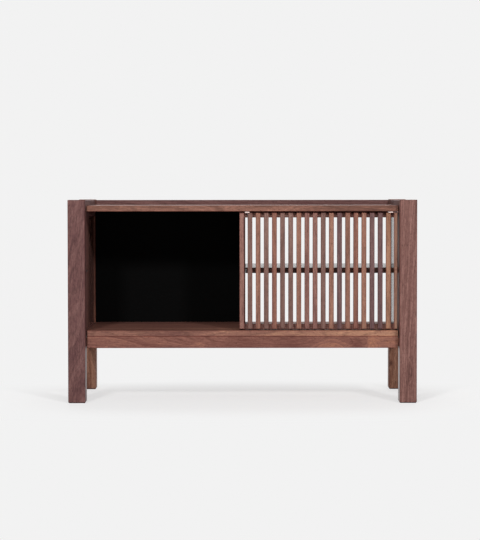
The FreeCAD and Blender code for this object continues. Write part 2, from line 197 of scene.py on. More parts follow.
def painted_edge_shade(tree, place, low, high):
    """Painted shade along a board's eased edges, which also draws the dark creases where boards
    meet: what is left of the light there, darker and less so in red; white everywhere else."""
    edge_width, edge_shade, redness = 0.0020, 0.5, 0.5
    inward = add(tree, "ShaderNodeVectorMath", {0: place, 1: (low + high) / 2},
                 operation="SUBTRACT").outputs[0]
    inward = add(tree, "ShaderNodeVectorMath", {0: inward}, operation="ABSOLUTE").outputs[0]
    inward = add(tree, "ShaderNodeVectorMath", {0: (high - low) / 2, 1: inward},
                 operation="SUBTRACT").outputs[0]
    dx, dy, dz = add(tree, "ShaderNodeSeparateXYZ", {0: inward}).outputs
    nearer = add(tree, "ShaderNodeMath", {0: dx, 1: dy}, operation="MINIMUM").outputs[0]
    further = add(tree, "ShaderNodeMath", {0: dx, 1: dy}, operation="MAXIMUM").outputs[0]
    further = add(tree, "ShaderNodeMath", {0: further, 1: dz}, operation="MINIMUM").outputs[0]
    to_edge = add(tree, "ShaderNodeMath", {0: nearer, 1: further}, operation="MAXIMUM").outputs[0]
    left = add(tree, "ShaderNodeMapRange", {
        "Value": to_edge, "From Min": edge_width / 2, "From Max": edge_width,
        "To Min": edge_shade, "To Max": 1.0}, interpolation_type="SMOOTHSTEP").outputs[0]
    left_red = add(tree, "ShaderNodeMath", {0: left, 1: redness}, operation="POWER").outputs[0]
    return add(tree, "ShaderNodeCombineColor", {0: left_red, 1: left, 2: left}).outputs[0]


def rubbed_coat(tree, place, low, high, oil, axis, start, end):
    """The coat's weight where only the face that looks into the cabinet was rubbed smooth: on
    it the coat grows from thin to full between two places along an axis."""
    thin_coat, face_depth = 0.05, 0.002
    inner_face = min(abs(low.x), abs(high.x)) + face_depth
    sides = add(tree, "ShaderNodeSeparateXYZ", {0: place}).outputs
    from_middle = add(tree, "ShaderNodeMath", {0: sides["X"]}, operation="ABSOLUTE").outputs[0]
    inner = add(tree, "ShaderNodeMath", {0: from_middle, 1: inner_face},
                operation="LESS_THAN").outputs[0]
    growth = add(tree, "ShaderNodeMapRange", {
        "Value": sides[axis], "From Min": start, "From Max": end},
        interpolation_type="SMOOTHSTEP").outputs[0]
    coat = add(tree, "ShaderNodeMath", {0: growth, 1: inner}, operation="MULTIPLY").outputs[0]
    return add(tree, "ShaderNodeMath", {0: coat, 1: oil - thin_coat, 2: thin_coat},
               operation="MULTIPLY_ADD").outputs[0]


def walnut(board, grain, tones, heart, lean, seed, eyes=(), staves=None, paling=None,
           contrast=1.0, oil=0.1, dullness=0.28, rubbed=None):
    """Satin black walnut for one board, sawn out of a log whose rings run round its middle.

    The eye sees slow bands of deep, middle and pale brown that follow the rings, as flames
    where the saw ran along them and as stripes where it cut across, with fine streaks and
    short dark pores over them and a thin sheen of oil. The pores are drawn a few times as
    wide as real ones, so that they show. Grain is the axis of the board's length, heart how
    far the log's middle lies from the board's, lean how far it drifts to each side in a
    metre, and seed what gives the board a figure of its own. An eye is a place where the
    rings swell, with its reach, its height and how much paler or darker its wood is; the
    second eye of the rear left post swells no rings and is painted shade. Staves are the
    axis along which the staves of a glued-up board lie side by side, their width and where
    the first one starts. Paling says that the wood turns from darker to paler along X,
    between which two places and by how much. Contrast is the strength of the figure, oil the
    weight of its coat and dullness that coat's roughness. The coat is thin and soft, with a
    low IOR, so that a board rubbed smooth mirrors the pale room at a grazing angle and stays
    brown from above. Rubbed says along which axis and between which two places the coat grows
    from thin to full, on the face that looks into the cabinet.
    """
    stretch = 9.0
    ring_width, pore_width, pore_shade = 0.0058, 0.0010, 0.5
    shares = [share * contrast for share in (0.65, 0.45, 0.5, 0.85)]  # bands, drift, mottle, streaks
    tone = 0.5 - sum(shares) / 2
    between_streaks, on_streaks = 0.66, 0.52
    wood_shine, wood_ior, oil_ior = 0.13, 1.5, 1.2
    relief_height = 0.0003
    material, tree, shader, place = surface("black walnut " + board)
    low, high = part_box(board)
    log = in_the_log(tree, place, (low + high) / 2, grain, heart, lean, stretch)
    if staves:
        log, tone = glued_up(tree, place, log, tone, *staves)
    radius = ring_radius(tree, log, seed)
    for eye in eyes:
        radius, tone = swollen(tree, place, radius, tone, *eye)
    tone, streaks = figured(tree, log, radius, tone, seed, shares, stretch)
    if paling:
        start, end, amount = paling
        along = add(tree, "ShaderNodeSeparateXYZ", {0: place}).outputs["X"]
        paler = add(tree, "ShaderNodeMapRange", {
            "Value": along, "From Min": start, "From Max": end,
            "To Min": -amount, "To Max": amount}, interpolation_type="SMOOTHSTEP").outputs[0]
        tone = add(tree, "ShaderNodeMath", {0: tone, 1: paler}, operation="ADD").outputs[0]
    deep, body, pale = [srgb(colour) for colour in tones]
    colour = add(tree, "ShaderNodeValToRGB", {"Fac": tone},
                 stops=[(0.15, deep), (0.5, body), (0.85, pale)]).outputs[0]
    turns = add(tree, "ShaderNodeMath", {0: radius, 1: 1 / ring_width}, operation="MULTIPLY").outputs[0]
    year = add(tree, "ShaderNodeMath", {0: turns}, operation="FRACT").outputs[0]
    late_wood = add(tree, "ShaderNodeValToRGB", {"Fac": year}, stops=[
        (0.0, 0.92), (0.12, 1.03), (0.7, 1.0), (0.92, 0.80), (1.0, 0.92)]).outputs[0]
    pores = add(tree, "ShaderNodeTexNoise", {
        "Vector": log, "W": seed + 2, "Scale": 1 / pore_width, "Detail": 1.0},
        noise_dimensions="4D").outputs[0]
    pore_mask = add(tree, "ShaderNodeValToRGB", {"Fac": pores},
                    stops=[(0.62, 0.0), (0.69, 1.0)]).outputs[0]
    colour = add(tree, "ShaderNodeMix", {"Factor": 1.0, 6: colour, 7: late_wood},
                 data_type="RGBA", blend_type="MULTIPLY").outputs[2]
    colour = add(tree, "ShaderNodeMix", {"Factor": pore_mask, 6: colour, 7: shade(deep, pore_shade)},
                 data_type="RGBA").outputs[2]
    # Painted shade along the eased edges and in the creases between boards.
    colour = add(tree, "ShaderNodeMix", {
        "Factor": 1.0, 6: colour, 7: painted_edge_shade(tree, place, low, high)},
        data_type="RGBA", blend_type="MULTIPLY").outputs[2]
    tree.links.new(colour, shader.inputs["Base Color"])
    bare = add(tree, "ShaderNodeMapRange", {
        "Value": streaks, "From Min": 0.3, "From Max": 0.7,
        "To Min": between_streaks, "To Max": on_streaks}).outputs[0]
    tree.links.new(bare, shader.inputs["Roughness"])
    relief = add(tree, "ShaderNodeMath", {0: streaks, 1: pore_mask}, operation="SUBTRACT").outputs[0]
    bump = add(tree, "ShaderNodeBump", {
        "Strength": 0.3, "Distance": relief_height, "Height": relief}).outputs[0]
    tree.links.new(bump, shader.inputs["Normal"])
    shader.inputs["IOR"].default_value = wood_ior
    shader.inputs["Specular IOR Level"].default_value = wood_shine
    shader.inputs["Coat Weight"].default_value = oil
    shader.inputs["Coat Roughness"].default_value = dullness
    shader.inputs["Coat IOR"].default_value = oil_ior
    if rubbed:
        tree.links.new(rubbed_coat(tree, place, low, high, oil, *rubbed), shader.inputs["Coat Weight"])
    return material


def dress(node, material):
    """Gives a piece of the frame its finish."""
    slots = nodes[node].data.materials
    slots.clear()
    slots.append(material)


dusk = ("#57393A", "#6B4A47", "#7E5B57")
umber = ("#62423D", "#7C5750", "#946D65")
hazel = ("#684438", "#8A5F4D", "#AA7E68")
front_face, rear_face = [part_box("post_%s_left" % row)[0].y for row in ("front", "rear")]
leg_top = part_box("front_rail")[0].z
bare_leg = ("Z", leg_top + 0.013, leg_top - 0.012)
dress("post_front_left", walnut("post_front_left", "Z", dusk, (0.03, 0.06), (0.03, 0.11), 1.0,
                                eyes=[((-0.539, front_face, 0.33), (0.06, 0.08, 0.17), 0.004, 0.14)],
                                contrast=1.4, oil=0.5, rubbed=bare_leg))
dress("post_front_right", walnut("post_front_right", "Z", umber, (0.09, 0.055), (0.02, 0.03), 2.0,
                                 eyes=[((0.549, front_face, 0.102), (0.016, 0.05, 0.06), 0.018, -0.1)],
                                 contrast=1.4, oil=1.0, rubbed=bare_leg))
dress("post_rear_left", walnut("post_rear_left", "Z", hazel, (-0.07, 0.04), (0.01, 0.02), 3.0,
                               eyes=[((-0.520, rear_face, 0.10), (0.5, 0.5, 1.0), 0.0, 0.25),
                                     # The second eye swells no rings: it is painted shade, darkening the
                                     # post where it stands in the dark record bay.
                                     ((-0.513, rear_face, 0.44), (0.06, 0.06, 0.34), 0.0, -0.9)],
                               paling=(-0.530, -0.522, 0.18), contrast=1.2))
dress("post_rear_right", walnut("post_rear_right", "Z", hazel, (0.05, 0.07), (0.02, 0.03), 4.0,
                                eyes=[((0.5165, rear_face, 0.09), (0.011, 0.03, 0.015), 0.012, -0.7)],
                                contrast=1.3))


# Foot pads: squares of dark wool felt, die-cut with rounded corners and glued under the
# posts, so that the cabinet slides without marking the floor.
def new_piece(name, mesh, material, body, material_slot, *replaced):
    """A finished piece: its mesh in place, its finish, the body it rides on, what it stands for."""
    piece = bpy.data.objects.new(name, mesh)
    mesh.materials.clear()
    mesh.materials.append(material)
    bpy.context.scene.collection.objects.link(piece)
    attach(piece, body)
    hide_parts(*replaced)
    return piece


def wool_felt():
    """Pressed charcoal wool: no gloss, and a short tangle of lighter and darker fibres, drawn
    many times as coarse as real ones, so that they show."""
    fibre_width = 0.0006
    material, tree, shader, place = surface("charcoal wool felt")
    tangle = add(tree, "ShaderNodeTexNoise", {
        "Vector": place, "Scale": 1 / fibre_width, "Detail": 3.0, "Distortion": 2.0}).outputs[0]
    colour = add(tree, "ShaderNodeValToRGB", {"Fac": tangle},
                 stops=[(0.3, srgb("#2B2321")), (0.7, srgb("#4A3D39"))]).outputs[0]
    tree.links.new(colour, shader.inputs["Base Color"])
    bump = add(tree, "ShaderNodeBump", {"Strength": 0.7, "Distance": 0.0004, "Height": tangle}).outputs[0]
    tree.links.new(bump, shader.inputs["Normal"])
    shader.inputs["Roughness"].default_value = 0.95
    shader.inputs["Specular IOR Level"].default_value = 0.1
    shader.inputs["Sheen Weight"].default_value = 0.3
    return material


def felt_pads():
    """A pad under each post: a square with rounded corners, from its sole up to the post's foot."""
    pad_corner = 0.0015
    corner_steps = 5
    pad_low, pad_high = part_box("foot_pads")
    post_low, post_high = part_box("post_front_left")
    inset = pad_low.x - post_low.x
    half = (post_high.x - post_low.x) / 2 - inset
    shape = bmesh.new()
    for x in (pad_low.x + half, pad_high.x - half):
        for y in (pad_low.y + half, pad_high.y - half):
            sole, top = [], []
            for quarter in range(4):
                turn = quarter * pi / 2
                corner_x = x + (half - pad_corner) * (1 if quarter in (0, 3) else -1)
                corner_y = y + (half - pad_corner) * (1 if quarter in (0, 1) else -1)
                for step in range(corner_steps):
                    angle = turn + step / (corner_steps - 1) * pi / 2
                    corner = (corner_x + pad_corner * cos(angle), corner_y + pad_corner * sin(angle))
                    sole.append(shape.verts.new((*corner, pad_low.z)))
                    top.append(shape.verts.new((*corner, pad_high.z)))
            shape.faces.new(reversed(sole))
            shape.faces.new(top)
            for index in range(len(sole)):
                after = (index + 1) % len(sole)
                shape.faces.new((sole[index], sole[after], top[after], top[index]))
    mesh = bpy.data.meshes.new("felt_pads")
    shape.to_mesh(mesh)
    shape.free()
    return mesh


new_piece("felt_pads", felt_pads(), wool_felt(), "cabinet", "felt_pad", "foot_pads")

# Side rails: stout walnut rails tenoned between the front and the rear posts. The upper pair
# stands above the top panel as a low gallery, the lower pair carries the case.
for index, side in enumerate(("left", "right")):
    upper, lower = "side_top_rail_" + side, "side_bottom_rail_" + side
    dress(upper, walnut(upper, "Y", dusk, (0.02, 0.06), (0.03, 0.05), 5.0 + index))
    dress(lower, walnut(lower, "Y", umber, (0.06, 0.03), (0.02, 0.04), 7.0 + index))

# Side panels: solid walnut, glued up from four boards with their grain upright, and housed in
# grooves in the posts and the rails.
for index, side in enumerate(("left", "right")):
    panel = "side_panel_" + side
    low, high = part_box(panel)
    board_width = (high.y - low.y) / 4
    dress(panel, walnut(panel, "Z", umber, (0.07, 0.03), (0.04, 0.06), 9.0 + index,
                        staves=("Y", board_width, low.y), oil=1.0, dullness=0.17,
                        rubbed=("Y", -0.10, 0.0)))

# Cross rails: the gallery's back rail and the two low rails under the case. The front rail is
# joined end to end out of a long stave and a short, paler one.
russet = ("#6C433B", "#895C50", "#AB755C")
dress("gallery_back_rail", walnut("gallery_back_rail", "X", dusk, (0.03, 0.07), (0.02, 0.05), 11.0))
front_joint = 0.409
rail_low, rail_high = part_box("front_rail")
rail_face, rail_length = rail_low.y, rail_high.x - rail_low.x
dress("front_rail", walnut("front_rail", "X", russet, (0.012, 0.05), (0.05, 0.10), 12.0, contrast=0.85,
                           eyes=[((-0.43, rail_face, 0.190), (0.14, 0.05, 0.05), 0.01, 0.05),
                                 ((-0.141, rail_face, 0.190), (0.035, 0.03, 0.012), 0.012, 0.15),
                                 ((0.01, rail_face, 0.190), (0.12, 0.05, 0.05), 0.0, -0.12),
                                 ((0.16, rail_face, 0.190), (0.09, 0.05, 0.05), 0.0, -0.2),
                                 ((0.285, rail_face, 0.172), (0.085, 0.06, 0.05), 0.06, 0.28),
                                 ((0.375, rail_face, 0.185), (0.04, 0.05, 0.04), 0.01, -0.3),
                                 ((0.425, rail_face, 0.19), (0.03, 0.05, 0.04), 0.012, 0.2)],
                           staves=("X", rail_length, front_joint)))
dress("rear_rail", walnut("rear_rail", "X", umber, (0.02, 0.06), (0.04, 0.03), 13.0))

# Case boards: top, bottom, divider and shelf, each glued up from boards about 95 mm wide,
# with tongues into the rails.
chestnut = ("#5E3F36", "#7A5447", "#9B6E5E")
honey = ("#6B463F", "#8E6355", "#B5866B")
cocoa = ("#4C342D", "#63453B", "#7E5C4F")
top_low, top_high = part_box("top_panel")
board_width = (top_high.y - top_low.y) / 4
stave_margin = 0.001  # keeps the whole front face in the first stave
panel_staves = ("Y", board_width, top_low.y - stave_margin)
dress("top_panel", walnut("top_panel", "X", chestnut, (0.07, 0.03), (0.03, 0.04), 14.0,
                          staves=panel_staves, paling=(0.35, -0.1, 0.04), contrast=1.25))
dress("bottom_panel", walnut("bottom_panel", "X", honey, (0.06, 0.04), (0.02, -0.06), 15.0,
                             staves=panel_staves, paling=(-0.3, 0.45, 0.155), contrast=0.85))
dress("center_divider", walnut("center_divider", "Z", umber, (0.03, 0.08), (0.02, 0.05), 16.0,
                               staves=("Y", board_width, top_low.y)))
dress("middle_shelf", walnut("middle_shelf", "X", cocoa, (0.08, 0.04), (0.03, 0.03), 17.0,
                             staves=panel_staves, oil=0.8, dullness=0.17))


# Back panel of the record bay: thin board lacquered matt black and drawn blacker than
# lacquer is, as painted shade for the deep shadow inside the bay. It is housed in grooves in the case.
def black_lacquer_and_shade():
    """Matt black lacquer on board, drawn blacker than lacquer is as painted shade: nearly no
    light comes back, only a faint sprayed texture.
    """
    peel_width = 0.0025
    material, tree, shader, place = surface("matt black lacquer")
    peel = add(tree, "ShaderNodeTexNoise", {
        "Vector": place, "Scale": 1 / peel_width, "Detail": 2.0}).outputs[0]
    colour = add(tree, "ShaderNodeValToRGB", {"Fac": peel}, stops=[(0.3, 0.0015), (0.7, 0.003)]).outputs[0]
    tree.links.new(colour, shader.inputs["Base Color"])
    bump = add(tree, "ShaderNodeBump", {"Strength": 0.15, "Distance": 0.0002, "Height": peel}).outputs[0]
    tree.links.new(bump, shader.inputs["Normal"])
    shader.inputs["Roughness"].default_value = 0.8
    shader.inputs["Specular IOR Level"].default_value = 0.05
    return material


dress("record_bay_back_panel", black_lacquer_and_shade())


# Dowels: pegs of bare beech, turned and fluted. They are glued into drilled holes and hold
# the rails, the divider and the panels together.
def beech():
    """Bare turned beech: pale pinkish tan, with short darker flecks along the peg."""
    fleck_width = 0.0006
    material, tree, shader, place = surface("bare beech")
    flecks = add(tree, "ShaderNodeMapping", {"Vector": place, "Scale": (1, 1, 0.15)}).outputs[0]
    flecks = add(tree, "ShaderNodeTexNoise", {"Vector": flecks, "Scale": 1 / fleck_width}).outputs[0]
    colour = add(tree, "ShaderNodeValToRGB", {"Fac": flecks},
                 stops=[(0.35, srgb("#C39A74")), (0.6, srgb("#DDBB95"))]).outputs[0]
    tree.links.new(colour, shader.inputs["Base Color"])
    shader.inputs["Roughness"].default_value = 0.7
    return material


dress("panel_dowels", beech())


# Shelf wires: bent steel wire, zinc plated, plugged into the divider and the side panel so
# that the grooved shelf slides on and hides it.
def zinc_steel():
    """Bright zinc plate on steel: a cool grey metal with cloudy patches, and a fine unevenness
    of its gloss, drawn coarser than it is, so that it shows."""
    cloud_width, grain_width = 0.004, 0.0003
    material, tree, shader, place = surface("zinc plated steel")
    cloud = add(tree, "ShaderNodeTexNoise", {"Vector": place, "Scale": 1 / cloud_width}).outputs[0]
    colour = add(tree, "ShaderNodeValToRGB", {"Fac": cloud},
                 stops=[(0.3, srgb("#A9AAAC")), (0.7, srgb("#CDCDCC"))]).outputs[0]
    tree.links.new(colour, shader.inputs["Base Color"])
    grain = add(tree, "ShaderNodeTexNoise", {"Vector": place, "Scale": 1 / grain_width}).outputs[0]
    dullness = add(tree, "ShaderNodeMapRange", {"Value": grain, "To Min": 0.26, "To Max": 0.42}).outputs[0]
    tree.links.new(dullness, shader.inputs["Roughness"])
    shader.inputs["Metallic"].default_value = 1.0
    return material


zinc = zinc_steel()
dress("shelf_wires", zinc)


# Tracks: two channels of drawn aluminium, bronze anodised, let into the bottom and the top
# panel and screwed through their floors.
def bronze_aluminium():
    """Bronze anodised aluminium: dark brown metal, satin, with drawing lines along its length,
    spaced wider than real ones, so that they show."""
    line_width = 0.0004
    material, tree, shader, place = surface("bronze anodised aluminium")
    lines = add(tree, "ShaderNodeMapping", {"Vector": place, "Scale": (0.02, 1, 1)}).outputs[0]
    lines = add(tree, "ShaderNodeTexNoise", {
        "Vector": lines, "Scale": 1 / line_width, "Detail": 2.0}).outputs[0]
    colour = add(tree, "ShaderNodeValToRGB", {"Fac": lines},
                 stops=[(0.35, srgb("#4A3B33")), (0.65, srgb("#5E4C42"))]).outputs[0]
    tree.links.new(colour, shader.inputs["Base Color"])
    bump = add(tree, "ShaderNodeBump", {"Strength": 0.2, "Distance": 0.0001, "Height": lines}).outputs[0]
    tree.links.new(bump, shader.inputs["Normal"])
    shader.inputs["Metallic"].default_value = 1.0
    shader.inputs["Roughness"].default_value = 0.42
    return material


bronze = bronze_aluminium()
dress("door_track_top", bronze)
dress("door_track_bottom", bronze)


# Track screws: small countersunk screws of zinc plated steel with a cross recess. A row of
# them holds each track through its floor.
def screw_tree():
    """Geometry nodes that put a cross-head screw on every point, head along the point's facing."""
    recess_length_share, recess_width_share = 1.15, 0.24
    turning_seed = 7
    tree = bpy.data.node_groups.new("countersunk screws", "GeometryNodeTree")
    interface = tree.interface
    interface.new_socket("Geometry", in_out="INPUT", socket_type="NodeSocketGeometry")
    for name in ("Head Radius", "Head Depth", "Shank Radius", "Length"):
        interface.new_socket(name, in_out="INPUT", socket_type="NodeSocketFloat")
    interface.new_socket("Material", in_out="INPUT", socket_type="NodeSocketMaterial")
    interface.new_socket("Geometry", in_out="OUTPUT", socket_type="NodeSocketGeometry")
    sizes = add(tree, "NodeGroupInput").outputs

    def lowered(mesh, depth):
        below = add(tree, "ShaderNodeMath", {0: depth, 1: -1.0}, operation="MULTIPLY").outputs[0]
        down = add(tree, "ShaderNodeCombineXYZ", {"Z": below}).outputs[0]
        return add(tree, "GeometryNodeTransform", {"Geometry": mesh, "Translation": down}).outputs[0]

    head = add(tree, "GeometryNodeMeshCone", {
        "Vertices": 24, "Radius Top": sizes["Head Radius"], "Radius Bottom": sizes["Shank Radius"],
        "Depth": sizes["Head Depth"]}).outputs["Mesh"]
    head = lowered(head, sizes["Head Depth"])
    cut = add(tree, "GeometryNodeMeshBoolean", {0: head}, operation="DIFFERENCE")
    recess_length, recess_width = [
        add(tree, "ShaderNodeMath", {0: sizes["Head Radius"], 1: share}, operation="MULTIPLY").outputs[0]
        for share in (recess_length_share, recess_width_share)]
    for along_x, along_y in ((recess_length, recess_width), (recess_width, recess_length)):
        size = add(tree, "ShaderNodeCombineXYZ", {
            0: along_x, 1: along_y, 2: sizes["Head Depth"]}).outputs[0]
        tree.links.new(add(tree, "GeometryNodeMeshCube", {"Size": size}).outputs["Mesh"], cut.inputs[1])
    shank_length = add(tree, "ShaderNodeMath", {0: sizes["Length"], 1: sizes["Head Depth"]},
                       operation="SUBTRACT").outputs[0]
    ends = add(tree, "ShaderNodeMath", {0: sizes["Length"], 1: sizes["Head Depth"]},
               operation="ADD").outputs[0]
    shank_middle = add(tree, "ShaderNodeMath", {0: ends, 1: 0.5}, operation="MULTIPLY").outputs[0]
    shank = add(tree, "GeometryNodeMeshCylinder", {
        "Vertices": 12, "Radius": sizes["Shank Radius"], "Depth": shank_length}).outputs["Mesh"]
    join = add(tree, "GeometryNodeJoinGeometry", {0: cut.outputs[0]})
    tree.links.new(lowered(shank, shank_middle), join.inputs[0])
    facing = add(tree, "GeometryNodeInputNamedAttribute", {"Name": "facing"},
                 data_type="FLOAT_VECTOR").outputs["Attribute"]
    stand = add(tree, "FunctionNodeAlignRotationToVector", {"Vector": facing}, axis="Z").outputs[0]
    turn = add(tree, "FunctionNodeRandomValue", {"Min": 0.0, "Max": pi, "Seed": turning_seed},
               data_type="FLOAT")
    turn = next(socket for socket in turn.outputs if socket.enabled)
    spin = add(tree, "FunctionNodeAxisAngleToRotation", {"Axis": (0, 0, 1), "Angle": turn}).outputs[0]
    stand = add(tree, "FunctionNodeRotateRotation", {0: stand, 1: spin}, rotation_space="LOCAL").outputs[0]
    screws = add(tree, "GeometryNodeInstanceOnPoints", {
        "Points": sizes["Geometry"], "Instance": join.outputs[0], "Rotation": stand}).outputs[0]
    screws = add(tree, "GeometryNodeRealizeInstances", {"Geometry": screws}).outputs[0]
    screws = add(tree, "GeometryNodeSetMaterial", {
        "Geometry": screws, "Material": sizes["Material"]}).outputs[0]
    add(tree, "NodeGroupOutput", {0: screws})
    return tree


def grown(name, tree, mesh, inputs):
    """What a geometry tree makes of a mesh, as a plain mesh."""
    seed = bpy.data.objects.new(name, mesh)
    bpy.context.scene.collection.objects.link(seed)
    modifier = seed.modifiers.new(name, "NODES")
    modifier.node_group = tree
    sockets = {item.name: item.identifier for item in tree.interface.items_tree if item.in_out == "INPUT"}
    for key, value in inputs.items():
        modifier[sockets[key]] = value
    bpy.context.view_layer.update()
    made = seed.evaluated_get(bpy.context.evaluated_depsgraph_get())
    result = bpy.data.meshes.new_from_object(made)
    seed.modifiers.clear()
    bpy.data.objects.remove(seed)
    result.name = name
    return result


def screws(name, places, sizes, body, replaced):
    """A piece with one screw at each place; a place is a point and the way its head faces."""
    points = bpy.data.meshes.new(name + "_places")
    points.from_pydata([place for place, facing in places], [], [])
    ways = points.attributes.new("facing", "FLOAT_VECTOR", "POINT")
    for item, (place, facing) in zip(ways.data, places):
        item.vector = facing
    head_radius, head_depth, shank_radius, length = sizes
    mesh = grown(name, screw_drawing, points, {
        "Head Radius": head_radius, "Head Depth": head_depth, "Shank Radius": shank_radius,
        "Length": length, "Material": zinc})
    new_piece(name, mesh, zinc, body, "zinc_steel", replaced)


screw_drawing = screw_tree()
track_screw_sizes = (0.00225, 0.001, 0.00125, 0.006)
track_screw_end = 0.030
track_screw_count = 5
track_wall = 0.001
places = []
for track, way in (("door_track_bottom", 1), ("door_track_top", -1)):
    low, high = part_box(track)
    seat = low.z + track_wall if way > 0 else high.z - track_wall
    for index in range(track_screw_count):
        share = index / (track_screw_count - 1)
        x = (low.x + track_screw_end) * (1 - share) + (high.x - track_screw_end) * share
        places.append(((x, (low.y + high.y) / 2, seat), (0, 0, way)))
screws("cross_head_track_screws", places, track_screw_sizes, "cabinet", "track_screws")

# Door: twenty upright slats on a top and a bottom rail, ripped from offcuts of many boards,
# so that each slat has a brown of its own and lies elsewhere in its log.
slat_browns = {
    "rose": ("#694642", "#865F56", "#A0786B"),
    "tan": ("#6F4B3F", "#8E6455", "#AB7F6A"),
    "brick": ("#643E36", "#80554A", "#9C6E5B"),
    "grey": ("#5E4640", "#795A52", "#8F7066"),
    "plum": ("#523C3F", "#6D5150", "#836560"),
    "fawn": ("#7A5545", "#966B55", "#B1866B"),
    "sand": ("#8C6455", "#AE826F", "#C69C84"),
}
# The last slat's sand brown is paler than the others partly as painted light, lifting it out of the shadow
# that the right post casts on it.
slat_boards = ("rose grey tan grey brick grey grey tan rose rose "
               "grey tan plum tan brick tan plum plum fawn sand").split()
heart_step, lean_step = 0.012, 0.01
for index, brown in enumerate(slat_boards):
    slat = "door_slat_%02d" % (index + 1)
    heart = (0.01 + heart_step * (index * 7 % 5), 0.03 + heart_step * (index * 3 % 7))
    lean = (lean_step * (index % 4 - 1.5), 2 * lean_step * (index % 3 - 1))
    dress(slat, walnut(slat, "Z", slat_browns[brown], heart, lean, 20.0 + index))
dress("door_rail_top", walnut("door_rail_top", "X", slat_browns["rose"], (0.03, 0.05), (0.02, 0.02), 41.0))
dress("door_rail_bottom", walnut("door_rail_bottom", "X", slat_browns["rose"], (0.04, 0.04),
                                 (0.02, 0.02), 42.0))

# Slat screws: longer screws of the same zinc plated steel, driven from behind through the
# top and the bottom rail of the door, two into each slat.
slat_screw_sizes = (0.0035, 0.0026, 0.0018, 0.026)
places = []
for index in range(len(slat_boards)):
    slat_low, slat_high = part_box("door_slat_%02d" % (index + 1))
    for rail in ("door_rail_bottom", "door_rail_top"):
        low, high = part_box(rail)
        places.append((((slat_low.x + slat_high.x) / 2, high.y, (low.z + high.z) / 2), (0, 1, 0)))
screws("cross_head_slat_screws", places, slat_screw_sizes, "door", "slat_screws")


# Guides, end stop, rollers: injection-moulded nylon. The two pale guides stand on the door and
# run in the top track, the stop closes that track, and each black housing holds a wheel.
def nylon(name, colour, roughness):
    """Moulded nylon: a slightly cloudy colour, a soft gloss and a fine spark-eroded texture,
    drawn coarser than it is, so that it shows."""
    cloud_width, grit_width = 0.006, 0.0004
    material, tree, shader, place = surface(name)
    cloud = add(tree, "ShaderNodeTexNoise", {
        "Vector": place, "Scale": 1 / cloud_width, "Detail": 3.0}).outputs[0]
    tint = add(tree, "ShaderNodeValToRGB", {"Fac": cloud},
               stops=[(0.3, shade(srgb(colour), 0.9)), (0.7, srgb(colour))]).outputs[0]
    tree.links.new(tint, shader.inputs["Base Color"])
    grit = add(tree, "ShaderNodeTexNoise", {"Vector": place, "Scale": 1 / grit_width}).outputs[0]
    bump = add(tree, "ShaderNodeBump", {"Strength": 0.15, "Distance": 0.0001, "Height": grit}).outputs[0]
    tree.links.new(bump, shader.inputs["Normal"])
    shader.inputs["Roughness"].default_value = roughness
    shader.inputs["IOR"].default_value = 1.53
    return material


white_nylon = nylon("natural white nylon", "#DFC8C1", 0.45)
black_nylon = nylon("black nylon", "#262525", 0.42)
for side in ("left", "right"):
    dress("door_guide_" + side, white_nylon)
    dress("roller_housing_" + side, black_nylon)
    dress("roller_wheel_" + side, black_nylon)
# The stop's pinkish grey is drawn paler than the nylon, as painted light that makes up for the shade under
# the top panel.
dress("track_end_stop", nylon("warm grey nylon", "#AE8883", 0.5))
dress("roller_axles", zinc)

# Guide screws: long thin screws of the same steel. One goes down through each nylon guide
# into the door's top rail.
guide_screw_sizes = (0.0025, 0.0014, 0.0015, 0.0221)
places = []
for side in ("left", "right"):
    low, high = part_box("door_guide_" + side)
    places.append((((low.x + high.x) / 2, (low.y + high.y) / 2, high.z), (0, 0, 1)))
screws("cross_head_guide_screws", places, guide_screw_sizes, "door", "guide_screws")


# Bumpers: small domes of dark rubber, cast with a flat foot and stuck to the posts, where
# the ends of the door meet them.
def bumper_rubber():
    """Cast polyurethane rubber: dark brown-black, smooth, with a dull bloom on the dome."""
    bloom_width = 0.0015
    material, tree, shader, place = surface("dark cast rubber")
    bloom = add(tree, "ShaderNodeTexNoise", {"Vector": place, "Scale": 1 / bloom_width}).outputs[0]
    colour = add(tree, "ShaderNodeValToRGB", {"Fac": bloom},
                 stops=[(0.3, srgb("#2A2422")), (0.7, srgb("#352E2B"))]).outputs[0]
    tree.links.new(colour, shader.inputs["Base Color"])
    shader.inputs["Roughness"].default_value = 0.55
    return material


def domes():
    """Two domes, each a stack of rings that closes in an arc from a short straight foot."""
    ring_count, sides_of_ring = 7, 24
    foot_share, door_gap = 0.3, 0.0003
    whole_arc = 0.93 * pi / 2
    low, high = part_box("door_bumpers")
    posts = (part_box("post_front_left")[1].x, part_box("post_front_right")[0].x)
    height = posts[1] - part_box("door_slat_20")[1].x - door_gap
    radius = (high.z - low.z) / 2
    centre_y, centre_z = (low.y + high.y) / 2, (low.z + high.z) / 2
    shape = bmesh.new()
    for post_face, way in zip(posts, (1, -1)):
        rings = []
        for level in range(ring_count):
            arc = max(level - 1, 0) / (ring_count - 2) * whole_arc
            share = 0 if level == 0 else foot_share + (1 - foot_share) * sin(arc) / sin(whole_arc)
            reach = radius * (1 if level < 2 else cos(arc))
            ring = []
            for step in range(sides_of_ring):
                angle = 2 * pi * step / sides_of_ring
                ring.append(shape.verts.new((post_face + way * height * share,
                                             centre_y + reach * cos(angle),
                                             centre_z + reach * sin(angle))))
            rings.append(ring)
        for lower, upper in zip(rings, rings[1:]):
            for step in range(sides_of_ring):
                after = (step + 1) % sides_of_ring
                shape.faces.new((lower[step], lower[after], upper[after], upper[step])).smooth = True
        shape.faces.new(rings[0])
        shape.faces.new(rings[-1])
    bmesh.ops.recalc_face_normals(shape, faces=shape.faces)
    mesh = bpy.data.meshes.new("rubber_domes")
    shape.to_mesh(mesh)
    shape.free()
    return mesh


